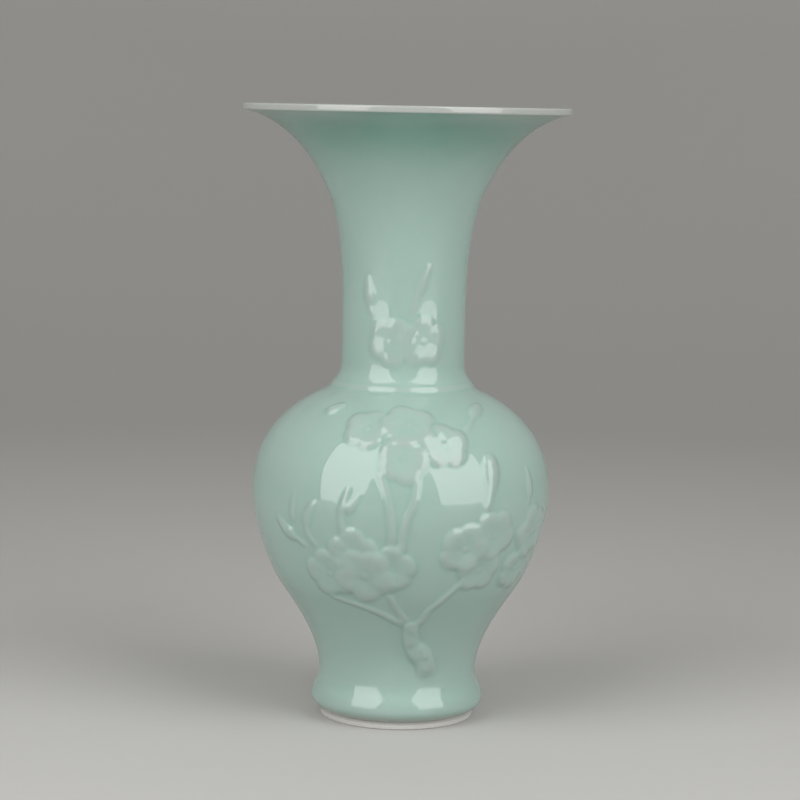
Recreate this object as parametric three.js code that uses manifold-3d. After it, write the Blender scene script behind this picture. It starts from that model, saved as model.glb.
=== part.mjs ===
// Porcelain vase with a trumpet mouth, a baluster body and plum blossom in piled relief.
// Millimetres and degrees. +Z is up, the origin is the middle of the circle the foot stands on,
// and the side with the full spray of blossom faces -Y.
import * as THREE from "three";
import { mergeVertices } from "three/addons/utils/BufferGeometryUtils.js";
import Module from "manifold-3d";

const wasm = await Module();
wasm.setup();

// Foot
const FOOT_RING_RADIUS = 37.6;
const FOOT_RING_WIDTH = 4;
const BARE_BAND_HEIGHT = 3.6;
const BULGE_RADIUS = 42.4;
const BULGE_RISE = 5.8;
const BULGE_UNDER_SLOPE = 62;
const WAIST_RADIUS = 38.8;
const WAIST_RISE = 13.4;
const RECESS_DEPTH = 9;
const RECESS_FLARE = 1;
const RECESS_CHAMFER = 2;
const FLOOR_THICKNESS = 6;
const FLOOR_FILLET = 5;

// Body
const SWELL_RISE = 43.2;
const SWELL_RADIUS = 58.5;
const SWELL_SLOPE = 34.5;
const BELLY_RISE = 46;
const BELLY_RADIUS = 73.2;
const SHOULDER_RISE = 50.6;
const SHOULDER_TOP_RADIUS = 36;
const SHOULDER_TOP_SLOPE = -67.5;

// Neck and mouth
const COLLAR_SETBACK = 0.8;
const COLLAR_HEIGHT = 3.2;
const COLLAR_STEP = 1.85;
const COLLAR_FILLET_RISE = 10;
const COLLAR_FILLET_SLOPE = -38;
const NECK_RADIUS = 30.15;
const NECK_STRAIGHT = 23.6;
const FLARE_RISE = 58;
const FLARE_RADIUS = 38.1;
const FLARE_SLOPE = 23.7;
const MOUTH_RISE = 38.8;
const MOUTH_RADIUS = 79.9;
const MOUTH_SLOPE = 78.5;
const LIP_THICKNESS = 3.2;
const LIP_ROUND = 0.5;

// How firmly each curve of the wall holds its slope at its low and its high end, as shares of its rise
const BULGE_PULLS = [0.5, 0.5];
const WAIST_PULLS = [0.44, 0.52];
const SWELL_PULLS = [0.355, 0.355];
const BELLY_PULLS = [0.27, 0.27];
const SHOULDER_PULLS = [0.54, 0.424];
const FILLET_PULLS = [0.4, 0.4];
const FLARE_PULLS = [0.355, 0.283];
const MOUTH_PULLS = [0.35, 0.64];
const THROAT_PULLS = [0.3, 0.5];

// Clay walls, and the slip that lutes the sections
const BODY_WALL = 4.5;
const NECK_WALL = 4;
const SLIP_THICKNESS = 0.6;
const SLIP_SETBACK = 0.25;

// Relief. A sprig lies a hair off the wall, and where two meet, the lower one is cut back by as much.
const SPRIG_CLEARANCE = 0.3;
const CUTTER_TOP = 6;
const CUTTER_BOTTOM = -3;

// Blossoms, with their heights off the wall. A size in the list of relief is a share of the radius.
const BLOSSOM_RADIUS = 12;
const BLOSSOM_HEIGHT = 1.9;
const BLOSSOM_EDGE = 0.9;
const BLOSSOM_DISH = 0.8;
const BLOSSOM_VALLEY = 1;
const STAMEN_HEIGHT = 1.3;
const STAMEN_SHOULDER = 1.17;
const PETALS = 5;
const PETAL_REACH = 0.56;

// Where a blossom's profile has its stamens, its dish, its slope and its crest, as shares of its radius
const STAMEN_SHARE = 0.13;
const DISH_SHARE = 0.22;
const SLOPE_SHARE = 0.52;
const CREST_SHARE = 0.84;
const CUTTER_SHARE = 0.5;

// Branches, shoots and buds. A width in the list of relief is a share of half a twig's width.
const TWIG_HALF_WIDTH = 2;
const SHOOT_FULLNESS = 0.62;
const BUD_TIP = 0.25;
const BUD_SKEW = 0.75;
const OPEN_SKEW = 1.8;
const STEM_TAPER = 0.4;
const KNOT_SWELL = 0.5;
const KNOT_SPAN = 0.13;

// Facets
const ROUND_STEPS = 40;
const WALL_STEPS = 5;
const FINE_STEPS = 4;
const INSIDE_STEPS = 3;
const PETAL_STEPS = 5;
const SHOOT_SIDES = 6;
const SHOOT_STEPS = 9;
const HAIR = 0.05;
const COURSE_STEP = 0.05;

const at = (radius, height) => new THREE.Vector2(radius, height);
const radians = THREE.MathUtils.degToRad;
const lerp = THREE.MathUtils.lerp;

// Levels, each worked out from the ones under it
const BULGE_LEVEL = BARE_BAND_HEIGHT + BULGE_RISE;
const WAIST_LEVEL = BULGE_LEVEL + WAIST_RISE;
const SWELL_LEVEL = WAIST_LEVEL + SWELL_RISE;
const BELLY_LEVEL = SWELL_LEVEL + BELLY_RISE;
const SHOULDER_LEVEL = BELLY_LEVEL + SHOULDER_RISE;
const COLLAR_LEVEL = SHOULDER_LEVEL + SLIP_THICKNESS + COLLAR_HEIGHT;
const NECK_LEVEL = COLLAR_LEVEL + COLLAR_FILLET_RISE;
const FLARE_START_LEVEL = NECK_LEVEL + NECK_STRAIGHT;
const FLARE_LEVEL = FLARE_START_LEVEL + FLARE_RISE;
const MOUTH_LEVEL = FLARE_LEVEL + MOUTH_RISE;
const RIM_LEVEL = MOUTH_LEVEL + LIP_THICKNESS;
const FLOOR_LEVEL = RECESS_DEPTH + FLOOR_THICKNESS;

// Points on a smooth curve from a low spot to a high one. Slopes lean from upright, outwards when positive.
function sweep(low, lowSlope, high, highSlope, pulls, steps) {
  const rise = high.y - low.y;
  const leaning = (slope, length) => at(Math.sin(radians(slope)) * length, Math.cos(radians(slope)) * length);
  const leave = low.clone().add(leaning(lowSlope, rise * pulls[0]));
  const arrive = high.clone().sub(leaning(highSlope, rise * pulls[1]));
  return new THREE.CubicBezierCurve(low, leave, arrive, high).getPoints(steps);
}

// The outside of each section, from low to high
function footOutside() {
  const bandTop = at(FOOT_RING_RADIUS, BARE_BAND_HEIGHT);
  const bulge = at(BULGE_RADIUS, BULGE_LEVEL);
  const waist = at(WAIST_RADIUS, WAIST_LEVEL);
  const under = sweep(bandTop, BULGE_UNDER_SLOPE, bulge, 0, BULGE_PULLS, FINE_STEPS);
  const drawIn = sweep(bulge, 0, waist, 0, WAIST_PULLS, FINE_STEPS);
  return [at(FOOT_RING_RADIUS, 0), ...under, ...drawIn.slice(1)];
}

function bodyOutside(steps) {
  const waist = at(WAIST_RADIUS, WAIST_LEVEL);
  const swell = at(SWELL_RADIUS, SWELL_LEVEL);
  const belly = at(BELLY_RADIUS, BELLY_LEVEL);
  const top = at(SHOULDER_TOP_RADIUS, SHOULDER_LEVEL);
  const lower = sweep(waist, 0, swell, SWELL_SLOPE, SWELL_PULLS, steps);
  const upper = sweep(swell, SWELL_SLOPE, belly, 0, BELLY_PULLS, steps);
  const shoulder = sweep(belly, 0, top, SHOULDER_TOP_SLOPE, SHOULDER_PULLS, steps + 2);
  return [...lower, ...upper.slice(1), ...shoulder.slice(1)];
}

// The collar sits on the top of the shoulder and steps in to the neck.
const COLLAR_RADIUS = SHOULDER_TOP_RADIUS - COLLAR_SETBACK;

function collarFillet() {
  const low = at(COLLAR_RADIUS - COLLAR_STEP, COLLAR_LEVEL);
  return sweep(low, COLLAR_FILLET_SLOPE, at(NECK_RADIUS, NECK_LEVEL), 0, FILLET_PULLS, FINE_STEPS);
}

function trumpetOutside(steps) {
  const start = at(NECK_RADIUS, FLARE_START_LEVEL);
  const flare = at(FLARE_RADIUS, FLARE_LEVEL);
  const mouth = at(MOUTH_RADIUS, MOUTH_LEVEL);
  const lower = sweep(start, 0, flare, FLARE_SLOPE, FLARE_PULLS, steps);
  const upper = sweep(flare, FLARE_SLOPE, mouth, MOUTH_SLOPE, MOUTH_PULLS, steps + 3);
  return [...lower, ...upper.slice(1)];
}

// The bowstring collar at the neck's foot, a half-round bead
function collarBead() {
  const half = COLLAR_HEIGHT / 2;
  const middle = at(COLLAR_RADIUS - half, COLLAR_LEVEL - half);
  const bead = new THREE.EllipseCurve(middle.x, middle.y, half, half, radians(-75), radians(60));
  return bead.getPoints(WALL_STEPS);
}

// Moves a path inwards, square to itself, by a thickness that changes evenly from its start to its end.
function inset(path, first, last) {
  return path.map((spot, i) => {
    const before = path[Math.max(i - 1, 0)];
    const after = path[Math.min(i + 1, path.length - 1)];
    const along = after.clone().sub(before).normalize();
    const thickness = lerp(first, last, i / (path.length - 1));
    return at(spot.x - along.y * thickness, spot.y + along.x * thickness);
  });
}

// The inside of the whole vase above the floor, one path from low to high
function insideWall() {
  const body = inset(bodyOutside(INSIDE_STEPS), BODY_WALL, BODY_WALL);
  const neckFoot = at(NECK_RADIUS, NECK_LEVEL);
  const neck = inset([neckFoot, ...trumpetOutside(INSIDE_STEPS)], NECK_WALL, LIP_THICKNESS);
  const throat = sweep(body.at(-1), SHOULDER_TOP_SLOPE, neck[0], 0, THROAT_PULLS, FINE_STEPS);
  return [...body, ...throat.slice(1, -1), ...neck];
}

// The stretch of a path between two levels, with its ends exactly on them
function stretch(path, low, high) {
  const crossing = (level) => {
    const i = Math.max(path.findIndex((spot) => spot.y >= level), 1);
    const share = (level - path[i - 1].y) / (path[i].y - path[i - 1].y);
    return at(lerp(path[i - 1].x, path[i].x, share), level);
  };
  const inner = path.filter((spot) => spot.y > low + HAIR && spot.y < high - HAIR);
  return [crossing(low), ...inner, crossing(high)];
}

// A solid of revolution about Z from an outline that goes up outside and down inside
function turned(outline) {
  const geometry = new THREE.LatheGeometry(outline, ROUND_STEPS);
  return geometry.rotateX(Math.PI / 2);
}

function tube(outside, inside) {
  return turned([...outside, ...inside.slice().reverse(), outside[0]]);
}

// Thrown sections, each cut back by half a slip ring where it is luted to the next
const SLIP_HALF = SLIP_THICKNESS / 2;
const INSIDE = insideWall();
const BODY_OUTSIDE = bodyOutside(WALL_STEPS);

function footSection() {
  const top = WAIST_LEVEL - SLIP_HALF;
  const bore = WAIST_RADIUS - BODY_WALL;
  const ringInner = FOOT_RING_RADIUS - FOOT_RING_WIDTH;
  const recessRadius = ringInner - RECESS_FLARE;
  const round = FLOOR_FILLET;
  const centre = at(bore - round, FLOOR_LEVEL + round);
  const fillet = new THREE.EllipseCurve(centre.x, centre.y, round, round, 0, -Math.PI / 2, true);
  return turned([
    at(0, RECESS_DEPTH),
    at(recessRadius - RECESS_CHAMFER, RECESS_DEPTH),
    at(recessRadius, RECESS_DEPTH - RECESS_CHAMFER),
    at(ringInner, 0),
    ...stretch(footOutside(), 0, top),
    at(bore, top),
    ...fillet.getPoints(INSIDE_STEPS),
    at(0, FLOOR_LEVEL),
  ]);
}

function lowerBodySection() {
  const low = WAIST_LEVEL + SLIP_HALF;
  const high = BELLY_LEVEL - SLIP_HALF;
  return tube(stretch(BODY_OUTSIDE, low, high), stretch(INSIDE, low, high));
}

function upperBodySection() {
  const low = BELLY_LEVEL + SLIP_HALF;
  return tube(stretch(BODY_OUTSIDE, low, SHOULDER_LEVEL), stretch(INSIDE, low, SHOULDER_LEVEL));
}

function neckSection() {
  const low = SHOULDER_LEVEL + SLIP_THICKNESS;
  const bead = collarBead();
  const collar = [at(bead[0].x, low), ...bead.slice(1), ...collarFillet()];
  const lip = [at(MOUTH_RADIUS, RIM_LEVEL - LIP_ROUND), at(MOUTH_RADIUS - LIP_ROUND, RIM_LEVEL)];
  const inside = stretch(INSIDE, low, INSIDE.at(-2).y);
  return tube([...collar, ...trumpetOutside(FINE_STEPS), ...lip], inside);
}

// A slip ring fills the joint between two sections, set back a little from both faces of the wall.
function slipRing(low, outerRadius, innerRadius) {
  const outer = outerRadius - SLIP_SETBACK;
  const inner = innerRadius + SLIP_SETBACK;
  const high = low + SLIP_THICKNESS;
  return tube([at(outer, low), at(outer, high)], [at(inner, low), at(inner, high)]);
}

const insideRadius = (level) => stretch(INSIDE, level, level + 1)[0].x;

// A wall that relief is stuck on: a distance up its face gives the place there and the way out of it.
function wallOf(path) {
  const reach = [0];
  for (let i = 1; i < path.length; i++) reach.push(reach[i - 1] + path[i].distanceTo(path[i - 1]));
  const length = reach.at(-1);
  const spotAt = (distance) => {
    const found = reach.findIndex((value) => value >= distance);
    const i = found < 0 ? path.length - 1 : Math.max(found, 1);
    return path[i - 1].clone().lerp(path[i], (distance - reach[i - 1]) / (reach[i] - reach[i - 1]));
  };
  const facing = (distance) => {
    const along = spotAt(distance + TWIG_HALF_WIDTH).sub(spotAt(distance - TWIG_HALF_WIDTH)).normalize();
    return at(along.y, -along.x);
  };
  return { length, spotAt, facing };
}

const BODY = wallOf(BODY_OUTSIDE);
const NECK = wallOf([...collarFillet(), ...trumpetOutside(FINE_STEPS)]);

// A point off a wall: an angle round from the front, a distance up its face and a height off it
function offWall(wall, angle, distance, height) {
  const spot = wall.spotAt(distance).add(wall.facing(distance).multiplyScalar(height));
  return new THREE.Vector3(spot.x * Math.sin(angle), -spot.x * Math.cos(angle), spot.y);
}

// Turns a geometry into a solid after each of its vertices has been moved by a function.
function solidFrom(geometry, move) {
  const position = geometry.getAttribute("position");
  const vertex = new THREE.Vector3();
  for (let i = 0; i < position.count; i++) {
    vertex.fromBufferAttribute(position, i);
    position.setXYZ(i, ...move(vertex));
  }
  geometry.deleteAttribute("normal");
  geometry.deleteAttribute("uv");
  const merged = mergeVertices(geometry, 1e-3);
  const mesh = new wasm.Mesh({
    numProp: 3,
    vertProperties: merged.attributes.position.array,
    triVerts: new Uint32Array(merged.index.array),
  });
  return new wasm.Manifold(mesh);
}

// How far a blossom's outline reaches, as a share of its radius: five round petals side by side
function petalOutline(turn) {
  const each = (2 * Math.PI) / PETALS;
  const off = Math.abs(((turn % each) + each) % each - each / 2) - each / 2;
  const round = 1 - PETAL_REACH;
  const aside = PETAL_REACH * Math.sin(off);
  return PETAL_REACH * Math.cos(off) + Math.sqrt(Math.max(round * round - aside * aside, 0));
}

// A blossom's profile, from the middle outwards and back under it
const BLOSSOM_PROFILE = [
  at(0, STAMEN_HEIGHT),
  at(STAMEN_SHARE, STAMEN_SHOULDER),
  at(DISH_SHARE, BLOSSOM_DISH),
  at(SLOPE_SHARE, BLOSSOM_VALLEY),
  at(CREST_SHARE, BLOSSOM_HEIGHT),
  at(1, BLOSSOM_EDGE),
  at(1, SPRIG_CLEARANCE),
  at(CUTTER_SHARE, SPRIG_CLEARANCE),
  at(0, SPRIG_CLEARANCE),
];
const CUTTER_PROFILE = [
  at(0, CUTTER_TOP),
  at(CUTTER_SHARE, CUTTER_TOP),
  at(1, CUTTER_TOP),
  at(1, CUTTER_BOTTOM),
  at(CUTTER_SHARE, CUTTER_BOTTOM),
  at(0, CUTTER_BOTTOM),
];

// A five-petalled blossom: stamens in the middle of a dish, and petals that rise to a soft crest near their
// edge and sink between one another. Grown by a clearance, it is the cutter for what lies under it.
function blossom({ wall, angle, up, size, turn }, grow = 0) {
  const profile = grow > 0 ? CUTTER_PROFILE : BLOSSOM_PROFILE;
  const geometry = new THREE.LatheGeometry(profile, PETALS * PETAL_STEPS);
  const radius = BLOSSOM_RADIUS * size + grow;
  const middle = (wall.length * up) / 100;
  return solidFrom(geometry, ({ x, y, z }) => {
    const share = Math.hypot(x, z);
    const around = Math.atan2(z, x);
    const outline = petalOutline(around);
    const reach = share * radius * lerp(1, outline, share * share);
    const onPetal = share > DISH_SHARE + HAIR && share < 1 - HAIR && y > SPRIG_CLEARANCE;
    const height = onPetal ? y * outline : y;
    const distance = middle + reach * Math.sin(around + radians(turn));
    const across = (reach * Math.cos(around + radians(turn))) / wall.spotAt(distance).x;
    return offWall(wall, radians(angle) + across, distance, height);
  });
}

// The outline of a strip, pointed at both ends, from its tip to its root
function stripProfile() {
  const profile = [at(0, 1)];
  for (let i = 1; i < SHOOT_STEPS; i++) profile.push(at(1, (1 + Math.cos((Math.PI * i) / SHOOT_STEPS)) / 2));
  return [...profile, at(0, 0)];
}

// A shoot, branch or bud: a half-round strip along a route of [angle, per cent of the wall] spots.
// Grown by a clearance, it is the cutter for what lies under it.
function shoot({ wall, route, girth }, grow = 0) {
  const geometry = new THREE.LatheGeometry(stripProfile(), SHOOT_SIDES);
  const spots = route.map(([angle, up]) => at(radians(angle), (wall.length * up) / 100));
  const curve = new THREE.SplineCurve(spots);
  const solidHeight = (z, width) => SPRIG_CLEARANCE + Math.max(z, 0) * width * SHOOT_FULLNESS;
  const cutterHeight = (z) => (z > COURSE_STEP ? CUTTER_TOP : CUTTER_BOTTOM);
  return solidFrom(geometry, ({ x, y, z }) => {
    const middle = curve.getPoint(y);
    const radius = wall.spotAt(middle.y).x;
    const ahead = curve.getPoint(Math.min(y + COURSE_STEP, 1));
    const course = ahead.sub(curve.getPoint(Math.max(y - COURSE_STEP, 0)));
    const along = at(course.x * radius, course.y).normalize();
    const width = girth(y) * TWIG_HALF_WIDTH + grow;
    const height = grow > 0 ? cutterHeight(z) : solidHeight(z, width);
    const angle = middle.x - (along.y * x * width) / radius;
    return offWall(wall, angle, middle.y + along.x * x * width, height);
  });
}

// How wide a strip is along its length: a branch tapers, and may have a knot; a bud swells near its root,
// or near its tip when it opens; a budding shoot is a stem that ends in a bud
const taper = (root, tip) => (share) => lerp(root, tip, share);
const knotted = (root, tip, knot) => (share) =>
  lerp(root, tip, share) + KNOT_SWELL * Math.exp(-(((share - knot) / KNOT_SPAN) ** 2));
const swelling = (share, skew = BUD_SKEW) => Math.sin(Math.PI * Math.pow(share, skew));
const bud = (half) => (share) => half * swelling(share) + BUD_TIP / TWIG_HALF_WIDTH;
const budding = (stem, half, from, skew) => (share) => {
  const swell = share < from ? 0 : swelling((share - from) / (1 - from), skew);
  return stem * (1 - STEM_TAPER * (share - from)) + (half - stem) * swell;
};

const flower = (name, wall, angle, up, size, turn) => ({ name, make: blossom, wall, angle, up, size, turn });
const strip = (name, wall, girth, ...route) => ({ name, make: shoot, wall, route, girth });

// The relief, from the top layer down: what comes later is cut back where something earlier lies over it
const RELIEF = [
  flower("neck_blossom_right", NECK, 19, 14.3, 1.04, 20),
  flower("neck_blossom_left", NECK, -11.5, 14, 1, 60),
  strip("neck_bud_left", NECK, budding(0.55, 1.5, 0.4), [-29, 21], [-33, 25], [-34, 29], [-35.5, 34]),
  strip("neck_shoot_right", NECK, budding(0.7, 1.15, 0.6), [6, 21], [10, 26.4], [14, 30.2], [22, 37.4]),

  flower("shoulder_blossom_middle", BODY, 3, 84.7, 1.16, 36),
  flower("shoulder_blossom_left", BODY, -16, 83.2, 1, 0),
  flower("shoulder_blossom_right", BODY, 18.5, 78.1, 1.02, 18),
  flower("shoulder_blossom_lower", BODY, 1, 73.8, 1.04, 0),
  strip("shoulder_bud_left", BODY, bud(1.6), [-44, 88], [-36.5, 92.6]),
  strip("shoulder_bud_right", BODY, budding(0.55, 1.5, 0.5), [30, 82], [37, 86], [44, 89.6], [54, 92.6]),

  flower("left_blossom_front", BODY, -14, 38.8, 1.28, 54),
  flower("left_blossom_right", BODY, -3.5, 41.4, 1.04, 12),
  flower("left_blossom_outer", BODY, -29.5, 38.6, 1.08, 30),
  flower("left_blossom_back", BODY, -18, 45.4, 1.12, 18),
  strip("left_group_bud", BODY, bud(1.1), [-1.5, 44.5], [1.5, 49.8]),

  flower("right_blossom_front", BODY, 26, 47.3, 1.08, 0),
  flower("right_blossom_upper", BODY, 38.5, 50.8, 1.05, 54),
  flower("right_blossom_lower", BODY, 34.5, 40.2, 1, 18),
  flower("side_blossom_upper", BODY, 62.5, 49.8, 1.14, 36),
  flower("side_blossom_lower", BODY, 56.5, 38.8, 0.97, 0),

  strip("trunk", BODY, knotted(2.6, 1.75, 0.5),
    [22.5, 1.5], [20.5, 5], [17, 8.4], [12, 11.4], [8.5, 14], [7, 20]),
  strip("branch_left", BODY, taper(1.2, 0.7), [4, 20.5], [-1, 22.4], [-9, 25.4], [-19, 28.1], [-31, 30.5]),
  strip("branch_middle", BODY, taper(1, 0.7), [5, 21.5], [0, 26.6], [-4, 32]),
  strip("branch_right", BODY, taper(1.1, 0.8), [8, 20], [12, 22.4], [15, 26.6], [21, 31.2], [27, 36]),

  strip("shoot_middle_left", BODY, taper(1.05, 0.75),
    [-3, 46], [-2.8, 53], [-3.6, 59], [-5.2, 64.2], [-7.5, 69]),
  strip("shoot_middle_right", BODY, taper(1, 0.8), [0, 46], [2, 55.5], [5, 61.4], [6, 67]),
  strip("shoot_left_outer", BODY, budding(0.7, 1.15, 0.5), [-33, 46], [-37, 50.5], [-37, 55], [-34, 59.8]),
  strip("shoot_left_inner", BODY, budding(0.75, 1, 0.5), [-21, 51], [-22, 55], [-21.5, 59], [-19.5, 64.8]),
  strip("bud_left_inner", BODY, bud(0.9), [-20, 57.6], [-15.4, 63]),
  strip("bud_left_slim", BODY, bud(0.7), [-44, 53], [-44, 57.9], [-43, 62.4]),
  strip("bud_left_edge", BODY, budding(0.65, 1.8, 0.5), [-38, 46], [-42, 48], [-47, 50], [-53, 54]),
  strip("bud_right_half_open", BODY, budding(0.7, 2.1, 0.35, OPEN_SKEW),
    [33, 57], [35.5, 62], [37, 67], [38.5, 74]),
  strip("bud_right_pointed", BODY, budding(0.55, 1.45, 0.35), [55, 57.8], [57, 60.4], [57.5, 64], [58, 69]),
];

// Cuts each piece of relief back round those that lie over it.
function reliefSolids() {
  const above = [];
  return RELIEF.map((item) => {
    const over = above.filter(({ wall }) => wall === item.wall);
    const solid = over.reduce((left, { cutter }) => left.subtract(cutter), item.make(item));
    above.push({ wall: item.wall, cutter: item.make(item, SPRIG_CLEARANCE) });
    return [item.name, solid];
  });
}

// The largest body of a solid, as a geometry: slivers that a cut leaves are brushed off, as in clay.
function geometryOf(solid) {
  const bodies = solid.decompose().sort((a, b) => b.volume() - a.volume());
  const { numProp, vertProperties, triVerts } = bodies[0].getMesh();
  const geometry = new THREE.BufferGeometry();
  geometry.setAttribute("position", new THREE.BufferAttribute(vertProperties, numProp));
  geometry.setIndex(new THREE.BufferAttribute(triVerts, 1));
  geometry.computeVertexNormals();
  return geometry;
}

// Materials: glazed porcelain in pale green, a little whiter where the glaze is thin, and bare slip
const glaze = (color) => new THREE.MeshStandardMaterial({ color, roughness: 0.12, metalness: 0 });
const sectionGlaze = glaze(0x9ab4ab);
const reliefGlaze = glaze(0xa9beb6);
const slip = new THREE.MeshStandardMaterial({ color: 0xd6d3cb, roughness: 0.8, metalness: 0 });

const vase = new THREE.Group();

function add(name, geometry, material) {
  const mesh = new THREE.Mesh(geometry, material);
  mesh.name = name;
  vase.add(mesh);
}

add("foot", footSection(), sectionGlaze);
add("lower_body", lowerBodySection(), sectionGlaze);
add("upper_body", upperBodySection(), sectionGlaze);
add("trumpet_neck", neckSection(), sectionGlaze);
add("waist_slip", slipRing(WAIST_LEVEL - SLIP_HALF, WAIST_RADIUS, WAIST_RADIUS - BODY_WALL), slip);
add("belly_slip", slipRing(BELLY_LEVEL - SLIP_HALF, BELLY_RADIUS, BELLY_RADIUS - BODY_WALL), slip);
add("neck_slip", slipRing(SHOULDER_LEVEL, collarBead()[0].x, insideRadius(SHOULDER_LEVEL)), slip);
for (const [name, solid] of reliefSolids()) add(name, geometryOf(solid), reliefGlaze);

export default vase;
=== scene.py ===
import math

import bmesh
import bpy
import numpy as np
from bpy.props import FloatProperty, FloatVectorProperty, PointerProperty
from mathutils import Matrix, Vector


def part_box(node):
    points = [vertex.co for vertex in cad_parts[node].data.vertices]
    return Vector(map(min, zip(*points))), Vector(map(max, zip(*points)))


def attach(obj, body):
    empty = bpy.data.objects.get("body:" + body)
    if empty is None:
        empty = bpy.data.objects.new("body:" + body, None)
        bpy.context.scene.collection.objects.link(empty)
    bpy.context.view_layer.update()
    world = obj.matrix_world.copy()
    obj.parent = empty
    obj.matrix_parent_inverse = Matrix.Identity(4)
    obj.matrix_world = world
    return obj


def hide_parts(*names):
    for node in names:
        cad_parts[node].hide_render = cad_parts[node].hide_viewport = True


bl_info = {
    "name": "Plum Blossom Vase",
    "version": (1, 0, 0),
    "blender": (4, 5, 0),
    "location": "View3D > Sidebar > Vase",
    "description": "Builds a celadon vase with plum blossom in relief, and the studio it stands in",
    "category": "Add Mesh",
}

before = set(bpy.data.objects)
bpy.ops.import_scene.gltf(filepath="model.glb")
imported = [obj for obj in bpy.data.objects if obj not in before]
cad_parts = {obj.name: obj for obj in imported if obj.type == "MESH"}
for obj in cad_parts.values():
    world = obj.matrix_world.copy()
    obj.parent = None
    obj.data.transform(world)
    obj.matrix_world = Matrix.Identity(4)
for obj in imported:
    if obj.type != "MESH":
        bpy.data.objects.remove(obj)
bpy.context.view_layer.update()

MM = 0.001


def middle_level(node):
    """The height of the middle of a CAD node."""
    low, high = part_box(node)
    return (low.z + high.z) / 2


def widest(node):
    """How far out a turned CAD node reaches."""
    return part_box(node)[1].x


# Levels of the thrown sections, from the frame, and those between them
WAIST_LEVEL = middle_level("waist_slip")
BELLY_LEVEL = middle_level("belly_slip")
SHOULDER_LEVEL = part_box("upper_body")[1].z
RIM_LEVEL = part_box("trumpet_neck")[1].z
BAND_LEVEL = 3.6 * MM
BULGE_LEVEL = 9.4 * MM
SWELL_LEVEL = 66 * MM
COLLAR_LEVEL = 166.4 * MM
NECK_LEVEL = 176.4 * MM
FLARE_START_LEVEL = 200 * MM
FLARE_LEVEL = 258 * MM
RECESS_LEVEL = 9 * MM
FLOOR_LEVEL = 15 * MM

# Slopes in degrees from upright, outwards when positive, where one curve of the wall hands over to the next
BULGE_UNDER_SLOPE = 62
SWELL_SLOPE = 34.5
SHOULDER_SLOPE = -67.5
FILLET_SLOPE = -38
FLARE_SLOPE = 23.7
MOUTH_SLOPE = 78.5

# How firmly each curve holds its slope at its low and its high end, as shares of its rise
BULGE_PULLS = (0.5, 0.5)
WAIST_PULLS = (0.44, 0.52)
SWELL_PULLS = (0.355, 0.355)
BELLY_PULLS = (0.27, 0.27)
SHOULDER_PULLS = (0.54, 0.424)
FILLET_PULLS = (0.4, 0.4)
FLARE_PULLS = (0.355, 0.283)
MOUTH_PULLS = (0.35, 0.64)
THROAT_PULLS = (0.3, 0.5)

# Foot ring: its top is hidden in the glazed foot, and a groove in it draws the dark line under the glaze
RING_WIDTH = 4 * MM
RING_ROUND = 0.7 * MM
RING_RISE = 0.4 * MM
GLAZE_TUCK = 1 * MM
GROOVE_DEPTH = 0.9 * MM
GROOVE_FLOOR = 1 * MM
GROOVE_FOOT = 1.3 * MM

# Recess under the foot, well inside it, shoulder, collar and lip
RECESS_FLARE = 1 * MM
RECESS_CHAMFER = 2 * MM
FLOOR_FILLET = 5 * MM
SHOULDER_TOP_RADIUS = 36 * MM
COLLAR_SETBACK = 0.8 * MM
COLLAR_HALF = 1.6 * MM
COLLAR_STEP = 1.85 * MM
COLLAR_ARC = (-62, 60)
LIP_ROUND = 0.7 * MM

# How finely the skin is measured and meshed. Rows are close up to a share of the neck's height and within
# reach of the lip, the neck's piece begins a little under the collar, and a bell curve is cut off at a
# number of its spreads
CURVE_STEPS = 160
ARC_STEPS = 16
SKIN_STEP = 0.1 * MM
FINE_ROW = 0.5 * MM
PLAIN_ROW = 1.1 * MM
INSIDE_ROW = 4 * MM
LIP_ROW = 0.45 * MM
LIP_REACH = 6 * MM
SEAM_BELOW_COLLAR = 2.5 * MM
NECK_SPRIG = 0.45
WELD = 0.002 * MM
TINY = 1e-8
BELL_REACH = 3

# The relief lies within these angles, where columns are closer: their width, that of the plain ones, how many
# go round the foot, and the cells and the margin of the grid that the relief is drawn on
BODY_SPAN = (-56, 78)
NECK_SPAN = (-46, 34)
BODY_COLUMN = 0.42
NECK_COLUMN = 0.8
PLAIN_COLUMN = 2.5
FOOT_COLUMNS = 180
GRID_ANGLE = 0.25
GRID_UP = 0.3 * MM
GRID_MARGIN = 4


# Properties
def linear(hex_colour):
    """The linear RGBA of an sRGB hex colour."""
    parts = [int(hex_colour[i:i + 2], 16) / 255 for i in (1, 3, 5)]
    return [c / 12.92 if c <= 0.04045 else ((c + 0.055) / 1.055) ** 2.4 for c in parts] + [1.0]


def length(name, description, default):
    """A property for a length, set in metres."""
    return FloatProperty(
        name=name, description=description, default=default, unit="LENGTH", subtype="DISTANCE")


def colour(name, description, hex_colour):
    return FloatVectorProperty(
        name=name, description=description, default=linear(hex_colour), size=4, min=0, max=1, subtype="COLOR")


def wattage(name, description, default):
    """A property for a lamp's power, set in watts."""
    return FloatProperty(name=name, description=description, default=default, unit="POWER")


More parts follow.
